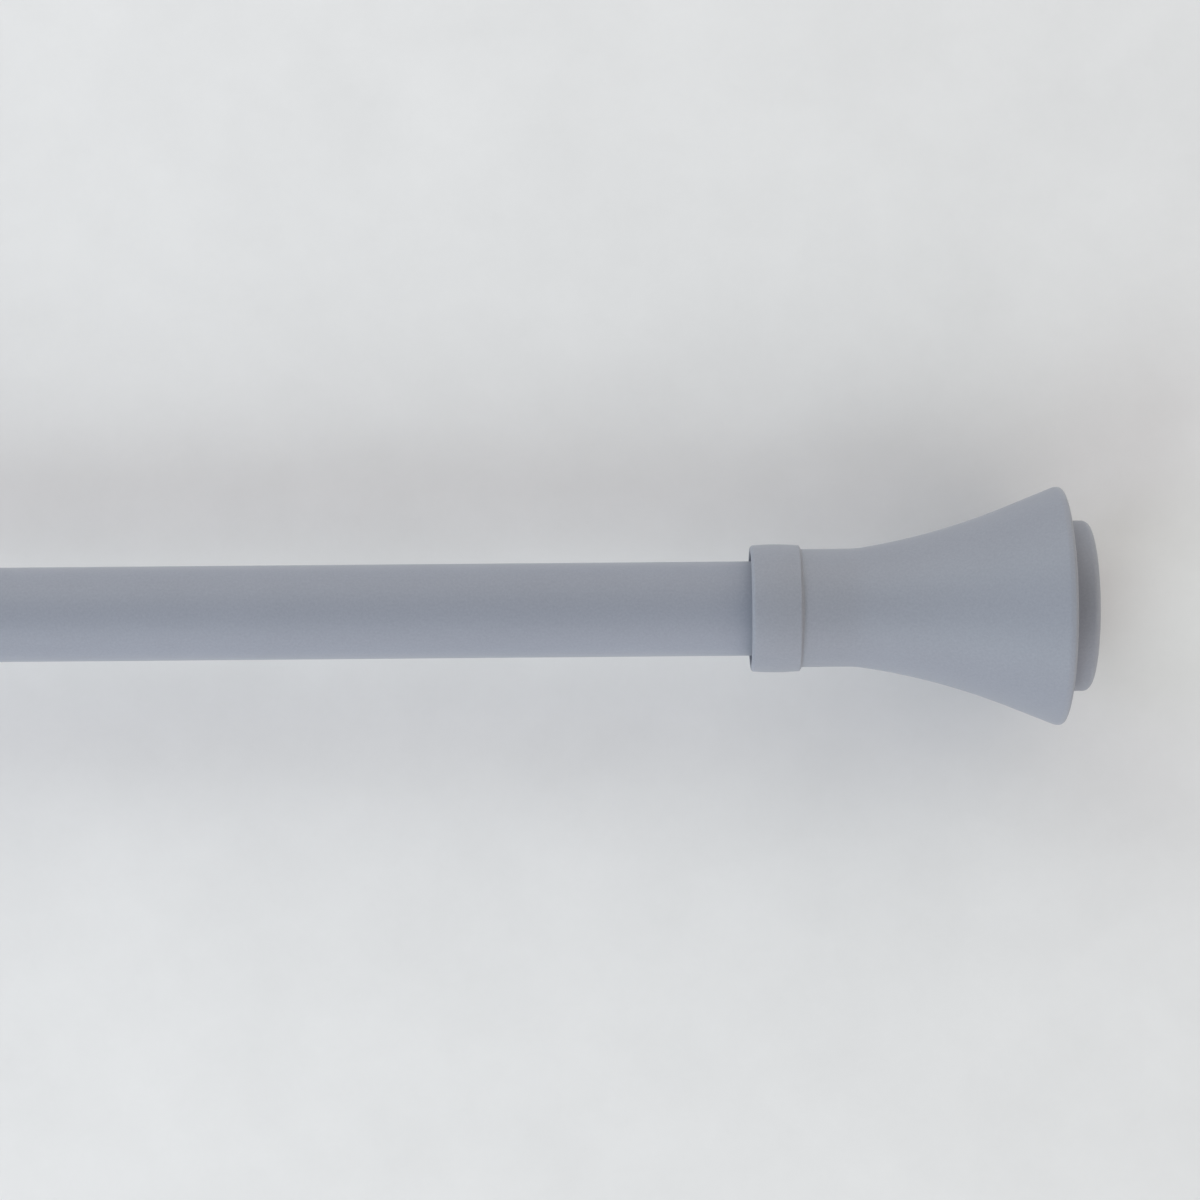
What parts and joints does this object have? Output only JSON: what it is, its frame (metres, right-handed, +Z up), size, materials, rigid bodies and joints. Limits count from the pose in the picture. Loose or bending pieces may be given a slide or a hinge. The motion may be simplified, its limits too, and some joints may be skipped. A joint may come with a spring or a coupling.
{
  "type": "extendable curtain rod",
  "caption": "Straight telescoping curtain rod: a thin round tube slides in a thick one, with a trumpet-shaped finial at each end.",
  "frame": {"origin": "on the rod's axis, at the middle of the thick tube", "axes": "+X along the rod towards the thin tube's finial, +Z up"},
  "size_m": [0.9994, 0.0404, 0.0404],
  "materials": {
    "tube_paint": "matte",
    "finial_paint": "matte",
    "grey_plastic": "satin",
    "black_plastic": "satin",
    "zinc_steel": "zinc plated"
  },
  "bodies": {
    "thick_section": {"thick_tube": "tube_paint", "mouth_ring": "grey_plastic"},
    "glide": {"thin_tube_glide": "black_plastic"},
    "thin_section": {"thin_tube": "tube_paint"},
    "thin_end_finial": {"thin_end_finial_body": "finial_paint", "thin_end_finial_cap": "finial_paint", "thin_end_spigot_plug": "black_plastic", "thin_end_plug_screw": "zinc_steel"},
    "thick_end_finial": {"thick_end_finial_body": "finial_paint", "thick_end_finial_cap": "finial_paint", "thick_end_spigot_plug": "black_plastic", "thick_end_plug_screw": "zinc_steel"}
  },
  "joints": [
    {"name": "telescope", "type": "slide", "parent": "thick_section", "child": "glide", "axis": [1, 0, 0], "range_m": [-0.235, 0.28]},
    {"name": "thin_tube_turn", "type": "hinge", "parent": "glide", "child": "thin_section", "pos_m": [-0.04, 0, 0], "axis": [1, 0, 0], "continuous": true},
    {"name": "thin_finial_pull", "type": "slide", "parent": "thin_section", "child": "thin_end_finial", "axis": [1, 0, 0], "range_m": [0, 0.03]},
    {"name": "thick_finial_pull", "type": "slide", "parent": "thick_section", "child": "thick_end_finial", "axis": [-1, 0, 0], "range_m": [0, 0.03]}
  ]
}
